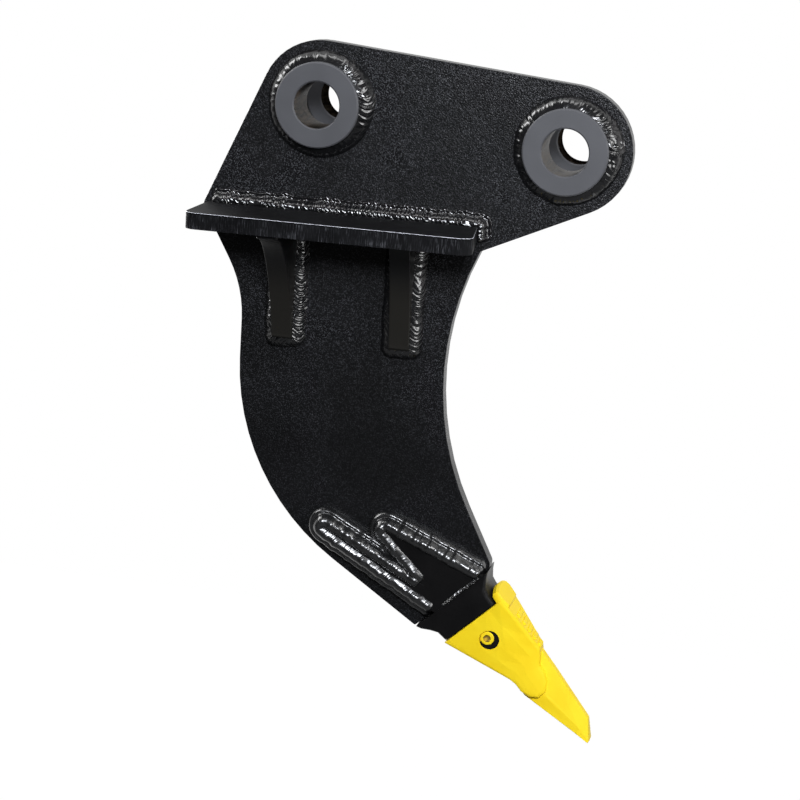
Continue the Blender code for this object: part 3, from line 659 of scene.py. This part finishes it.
def weld_bead(
    name,
    frames,
    leg,
    closed=False,
    skin=PLAIN,
    inner=CORNER,
    ripple=RIPPLE,
    knob=KNOB,
    slow_towards=None,
):
    """A closed skin over frames (corner, u, v): bent rows of ripples, thicker here and thinner there.

    u and v point along the bead's two legs. Ripples stand up only round one direction of u,
    slow_towards, if it is given, as the torch went slowly there. An open bead tapers off at both ends.
    """
    torch = Torch(name, leg, ripple, knob, slow_towards)
    rows = len(frames)
    steps = rows - 1 + closed
    ring = AROUND + len(inner)
    last = BEAD_STEP * (rows - 1)
    taper = 0.8 * leg
    shape = bmesh.new()
    bmesh.ops.create_grid(shape, x_segments=steps, y_segments=ring, size=1.0)
    for vertex in shape.verts:
        row = round((vertex.co.x + 1) / 2 * steps) % rows
        column = round((vertex.co.y + 1) / 2 * ring) % ring
        corner, u, v = frames[row]
        along = BEAD_STEP * row
        if column < AROUND:
            turn = column / (AROUND - 1)
            a, b = along_skin(skin, turn)
            reach = torch.reach(along, turn, u)
        else:
            a, b = inner[AROUND - 1 - column]
            reach = leg
        if not closed:
            left = min(along, last - along, taper) / taper
            reach *= math.sqrt(1 - (1 - left) ** 2)
        vertex.co = corner + u * (SEAT + a * reach) + v * (SEAT + b * reach)
    bmesh.ops.remove_doubles(shape, verts=shape.verts, dist=BEAD_DOUBLE)
    return shape


def ring_frames(centre, radius, y, side):
    """Frames round a hub, at its foot on a plate's face."""
    count = round(math.tau * radius / BEAD_STEP)
    frames = []
    for k in range(count):
        angle = math.tau * k / count
        u = Vector((math.cos(angle), 0.0, math.sin(angle)))
        corner = Vector((centre.x, y, centre.z)) + u * radius
        frames.append((corner, u, Vector((0.0, side, 0.0))))
    return frames


def path_frames(corners, y, side, mirrored=False, reach=6.0 * MM):
    """Frames along an open polygon (x, z) on a plate's face, fanned out round its corners.

    At a corner the frames are a bead's step apart this far out, their reach.
    """
    v = Vector((0.0, side, 0.0))
    frames = []
    before = None
    for start, end in zip(corners, corners[1:]):
        run = Vector((end[0] - start[0], 0.0, end[1] - start[1]))
        ahead = run.normalized()
        u = Vector((-ahead.z, 0.0, ahead.x)) * (-1 if mirrored else 1)
        at = Vector((start[0], y, start[1]))
        if before:
            angle = before.angle(u)
            steps = max(1, round(angle * reach / BEAD_STEP))
            frames += [(at, before.slerp(u, k / steps), v) for k in range(1, steps)]
        count = max(1, round(run.length / BEAD_STEP))
        frames += [(at + run * k / count, u, v) for k in range(count + 1)]
        before = u
    return frames


def hull_of(circles, points=48):
    """The convex outline round circles (centre, radius): points (x, z), anticlockwise."""
    shape = bmesh.new()
    for (x, z), radius in circles:
        place = Matrix.Translation((x, z, 0.0))
        bmesh.ops.create_circle(shape, segments=points, radius=radius, matrix=place)
    cloud = sorted({(v.co.x, v.co.y) for v in shape.verts})
    shape.free()

    def half(run):
        line = []
        for p in run:
            while len(line) > 1 and turn_of(line[-2], line[-1], p) <= 1e-12:
                line.pop()
            line.append(p)
        return line[:-1]

    return half(cloud) + half(cloud[::-1])


def turn_of(a, b, c):
    """More than 0 where the way from a over b to c turns left."""
    return (b[0] - a[0]) * (c[1] - a[1]) - (b[1] - a[1]) * (c[0] - a[0])


def clearance(point, outline):
    """How far outside an anticlockwise convex outline a point lies."""
    edges = zip(outline, outline[1:] + outline[:1])
    return max(-turn_of(a, b, point) / math.dist(a, b) for a, b in edges)


def along_nose(at):
    """How far a point lies along the tooth's axis, from the tooth's back."""
    return (at - TOOTH_BACK).dot(TOOTH_AXIS)


def leg_frames(outline, other, y, side):
    """Frames round a leg, behind the nose's collar and where the other leg leaves room."""
    count = len(outline)
    start = max(range(count), key=lambda i: along_nose(Vector((outline[i][0], 0.0, outline[i][1]))))
    ordered = [outline[(start + k) % count] for k in range(count + 1)]
    v = Vector((0.0, side, 0.0))
    frames = []
    left_over = 0.0
    for a, b in zip(ordered, ordered[1:]):
        run = Vector((b[0] - a[0], 0.0, b[1] - a[1]))
        u = Vector((run.z, 0.0, -run.x)).normalized()
        at = left_over
        while at < run.length:
            corner = Vector((a[0], y, a[1])) + run * (at / run.length)
            if along_nose(corner) < NOSE_SHOULDER and clearance((corner.x, corner.z), other) > 0.0:
                frames.append((corner, u, v))
            at += BEAD_STEP
        left_over = at - run.length
    return eased_turns(frames)


def eased_turns(frames, neighbours=5):
    """The same frames with their outward directions averaged over some neighbours on each side."""
    eased = []
    for i, (corner, _, v) in enumerate(frames):
        near = frames[max(0, i - neighbours) : i + neighbours + 1]
        eased.append((corner, sum((u for _, u, _ in near), Vector()).normalized(), v))
    return eased


def lay_weld(node, shape, gloss=WELD_GLOSS):
    finished_piece(f"{node}_rippled", shape, [gloss], node, 60.0)


def plate_face(side):
    """The Y of the main plate's near or far face."""
    return PLATE_LOW.y if side < 0 else PLATE_HIGH.y


def weld_hubs():
    """Round the hubs, on both faces of the main plate and outside the second ear."""
    for hub in ("link", "arm"):
        low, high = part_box(f"hub_{hub}")
        for side_name, side in SIDES:
            node = f"weld_hub_{hub}_{side_name}"
            frames = ring_frames((low + high) / 2, (high.x - low.x) / 2, plate_face(side), side)
            lay_weld(node, weld_bead(node, frames, HUB_BEAD, True, slow_towards=SLOW_TORCH))
        low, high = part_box(f"far_hub_{hub}")
        node = f"weld_far_hub_{hub}"
        frames = ring_frames((low + high) / 2, (high.x - low.x) / 2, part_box("far_ear")[1].y, 1)
        lay_weld(node, weld_bead(node, frames, FAR_HUB_BEAD, True))


def weld_wings():
    """Along the top of each wing and down its front end."""
    for side_name, side in SIDES:
        node = f"weld_wing_{side_name}"
        low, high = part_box(f"wing_{side_name}")
        path = [(low.x + WING_START, high.z), (WING_ROOT_RIGHT, high.z), (WING_ROOT_RIGHT, low.z)]
        frames = path_frames(path, plate_face(side), side)
        lay_weld(node, weld_bead(node, frames, WING_BEAD, skin=RIDGED))


def weld_gussets():
    """Down both sides of each gusset and round its foot."""
    for side_name, side in SIDES:
        for place, ripple in (("rear", RIPPLE), ("front", FLAT_RIPPLE)):
            node = f"weld_gusset_{side_name}_{place}"
            low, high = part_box(f"gusset_{side_name}_{place}")
            path = [(low.x, high.z), (low.x, low.z), (high.x, low.z), (high.x, high.z)]
            frames = path_frames(path, plate_face(side), side, True)
            lay_weld(node, weld_bead(node, frames, GUSSET_BEAD, ripple=ripple))


def weld_far_ear():
    """Along the foot of the second ear, inside and outside."""
    wing_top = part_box("wing_far")[1].z
    low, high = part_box("far_ear")
    for name, y, side in (("inner", low.y, -1), ("outer", high.y, 1)):
        node = f"weld_far_ear_{name}"
        first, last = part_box(node)[0].x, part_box(node)[1].x
        frames = path_frames([(first, wing_top), (last, wing_top)], y, side)
        lay_weld(node, weld_bead(node, frames, WING_BEAD))


def seam_frames(side):
    """Frames up the nose's shoulder, on the legs' outer faces."""
    v = Vector((0.0, side, 0.0))
    foot = TOOTH_BACK + TOOTH_AXIS * (NOSE_SHOULDER - SEAT) + v * LEG_FACE
    count = round((SEAM_TOP - SEAM_FOOT) / BEAD_STEP)
    return [(foot + TOOTH_RISE * (SEAM_FOOT + BEAD_STEP * k), -TOOTH_AXIS, v) for k in range(count)]


def join_into(whole, shape):
    """Moves a bmesh's faces into another one."""
    holder = bpy.data.meshes.new("joined")
    shape.to_mesh(holder)
    shape.free()
    whole.from_mesh(holder)
    bpy.data.meshes.remove(holder)


def weld_legs():
    """The beads round both legs of a cheek and the thin seam by the collar, as one piece a side."""
    outlines = hull_of(REAR_LEG), hull_of(FRONT_LEG)
    for side_name, side in SIDES:
        node = f"weld_cheek_{side_name}"
        beads = bmesh.new()
        for k, (outline, other) in enumerate((outlines, outlines[::-1])):
            frames = leg_frames(outline, other, plate_face(side), side)
            leg_bead = weld_bead(
                f"{node}_{k}", frames, CHEEK_BEAD, False, LIPPED, OVER_LEG, LEG_RIPPLE, LEG_KNOB
            )
            join_into(beads, leg_bead)
        frames = seam_frames(side)
        join_into(beads, weld_bead(f"{node}_seam", frames, SEAM_BEAD, ripple=SEAM_RIPPLE, knob=SEAM_KNOB))
        lay_weld(node, beads, LEG_GLOSS)


# The nose and the tooth


def dress_nose():
    shape = merged_copy("nose_adapter", HAIR)
    ease_edges(shape, NOSE_EASE)
    piece = finished_piece("nose_adapter_cast", shape, [CAST_BLACK], "nose_adapter")
    weight_normals(piece)


def slice_along(shape, direction, reach):
    """Cuts a shape's faces across a direction, so that its shading varies over short steps."""
    start, end = reach
    for k in range(math.ceil((end - start) / SLICE)):
        bmesh.ops.bisect_plane(
            shape,
            geom=shape.verts[:] + shape.edges[:] + shape.faces[:],
            plane_co=TOOTH_BACK + direction * (start + k * SLICE),
            plane_no=direction,
            dist=DOUBLE / 10,
        )


def add_ribs(shape):
    """Low plain ribs across the tooth's top face."""
    for k in range(RIBS):
        s = RIB_START + k * RIB_PITCH
        rise = RIB_FOOT - RIB_FALL * (s - RIB_START)
        half = RIB_HALF - RIB_TAPER * (s - RIB_START)
        at = TOOTH_BACK + TOOTH_AXIS * s + TOOTH_RISE * rise
        turn = Matrix((TOOTH_AXIS, Vector((0.0, 1.0, 0.0)), TOOTH_RISE)).transposed().to_4x4()
        size = Matrix.Diagonal((RIB_LONG, 2 * half, RIB_TALL, 1.0))
        made = bmesh.ops.create_cube(shape, size=1.0, matrix=Matrix.Translation(at) @ turn @ size)
        rib = dict.fromkeys(edge for vertex in made["verts"] for edge in vertex.link_edges)
        bmesh.ops.bevel(
            shape,
            geom=list(rib),
            offset=RIB_EASE,
            offset_type="OFFSET",
            segments=2,
            profile=0.5,
            affect="EDGES",
            material=-1,
        )


def dress_tooth():
    shape = merged_copy("tooth", HAIR)
    ease_edges(shape, TOOTH_EASE)
    slice_along(shape, TOOTH_AXIS, TOOTH_LENGTH)
    slice_along(shape, TOOTH_RISE, TOOTH_DEPTH)
    add_ribs(shape)
    piece = finished_piece("tooth_cast", shape, [TOOTH_YELLOW], "tooth", 38.0)
    weight_normals(piece)


def dress_tooth_pin():
    """The pin, with painted shade in its dished ends, and the rings that hold it."""
    shape = merged_copy("tooth_pin")
    low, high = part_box("tooth_pin")
    middle = (low + high) / 2
    for face in shape.faces:
        out = face.calc_center_median() - middle
        if math.hypot(out.x, out.z) < PIN_DISH_R and abs(out.y) < high.y - middle.y - PIN_DISH / 4:
            # faces in the dishes take the painted shade
            face.material_index = 1
    finished_piece("tooth_pin_painted", shape, [TOOTH_YELLOW, DISH_PAINTED_SHADE], "tooth_pin")
    for side_name, _ in SIDES:
        node = f"lock_ring_{side_name}"
        shape = merged_copy(node)
        finished_piece(f"{node}_moulded", shape, [RING_RUBBER], node)


# Stage


def soft_lamp(name, at, target, size, power, colour):
    lamp = bpy.data.lights.new(name, "AREA")
    lamp.shape = "RECTANGLE"
    lamp.size, lamp.size_y = size
    lamp.energy = power
    lamp.color = colour
    obj = bpy.data.objects.new(name, lamp)
    bpy.context.scene.collection.objects.link(obj)
    obj.location = at
    obj.rotation_euler = (Vector(target) - Vector(at)).to_track_quat("-Z", "Y").to_euler()


def set_camera():
    """The view along the photograph's azimuth and elevation, turned by its roll."""
    az, el = CAMERA_AZIMUTH, CAMERA_ELEVATION
    forward = Vector((-math.sin(az) * math.cos(el), math.cos(az) * math.cos(el), -math.sin(el)))
    level = Vector((math.cos(az), math.sin(az), 0.0))
    up = level.cross(forward)
    right = level * math.cos(CAMERA_ROLL) + up * math.sin(CAMERA_ROLL)
    up = right.cross(forward)
    camera = bpy.data.cameras.new("camera")
    camera.sensor_width = 36.0
    camera.lens = LENS
    camera.clip_end = 50.0
    obj = bpy.data.objects.new("camera", camera)
    turn = Matrix((right, up, -forward)).transposed().to_4x4()
    obj.matrix_world = Matrix.Translation(CAMERA_AT) @ turn
    bpy.context.scene.collection.objects.link(obj)
    bpy.context.scene.camera = obj


def set_background():
    """White to the camera, and white in what mirrors the side behind the ripper; a soft fill for the rest."""
    world = bpy.data.worlds.new("studio")
    bpy.context.scene.world = world
    nodes = Nodes(world)
    toward = nodes.add("ShaderNodeTexCoord", {}, {}, "Generated")
    behind = nodes.add("ShaderNodeSeparateXYZ", {}, {"Vector": toward}, "Y").between(*BEHIND)
    seen = nodes.ray("Camera").larger(nodes.ray("Transmission"))
    around = DARK_SIDE + behind * (BACK_FILL - DARK_SIDE)
    level = seen.larger(around).larger(nodes.ray("Glossy") * behind)
    nodes.link(level, "Background", "Strength")
    world.node_tree.nodes["Background"].inputs["Color"].default_value = (*NEUTRAL, 1.0)


def lay_floor():
    """A pale floor, nearly white to the camera and in what mirrors its far half, with the ripper's shadow."""
    shape = bmesh.new()
    bmesh.ops.create_grid(shape, x_segments=1, y_segments=1, size=FLOOR_HALF)
    drop = (0.0, 0.0, CAD_BOX[0][2] - FLOOR_DROP)
    bmesh.ops.translate(shape, verts=shape.verts, vec=drop)
    mesh = bpy.data.meshes.new("floor")
    shape.to_mesh(mesh)
    shape.free()
    floor = bpy.data.objects.new("floor", mesh)
    bpy.context.scene.collection.objects.link(floor)
    base = (0.12, 0.12, 0.12, 1.0)
    finish = Finish("floor", Base_Color=base, Roughness=1.0, Specular_IOR_Level=0.0)
    white = finish.add("ShaderNodeEmission", {}, {"Strength": FLOOR_WHITE})
    y = finish.add("ShaderNodeSeparateXYZ", {}, {"Vector": finish.place}, "Y")
    mirrored = finish.ray("Glossy") * y.between(*FLOOR_FAR)
    seen = finish.ray("Camera").larger(finish.ray("Transmission")).larger(mirrored)
    paint = Value(finish, finish.shader.outputs[0])
    mixed = finish.add("ShaderNodeMixShader", {}, {0: seen * FLOOR_SHARE, 1: paint, 2: white})
    finish.link(mixed, "Material Output", "Surface")
    mesh.materials.append(finish.material)


def set_lamps():
    """A tall softbox on the right, broad ones before and behind, weak ones above and on the left."""
    for lamp in LAMPS:
        soft_lamp(*lamp)


dress_plate("main_plate", PLATE_PAINT)
dress_plate("far_ear", PLATE_PAINT)
for wing in ("wing_near", "wing_far"):
    dress_wing(wing)
for side_word, _ in SIDES:
    for gusset_place in ("rear", "front"):
        dress_plate(f"gusset_{side_word}_{gusset_place}", GUSSET_PAINT, GUSSET_EASE)
for hub_node in ("hub_link", "hub_arm", "far_hub_link", "far_hub_arm"):
    dress_hub(hub_node)
weld_hubs()
weld_wings()
weld_gussets()
weld_far_ear()
weld_legs()
dress_nose()
dress_tooth()
dress_tooth_pin()

set_camera()
set_background()
lay_floor()
set_lamps()
bpy.context.scene.view_settings.view_transform = "Standard"
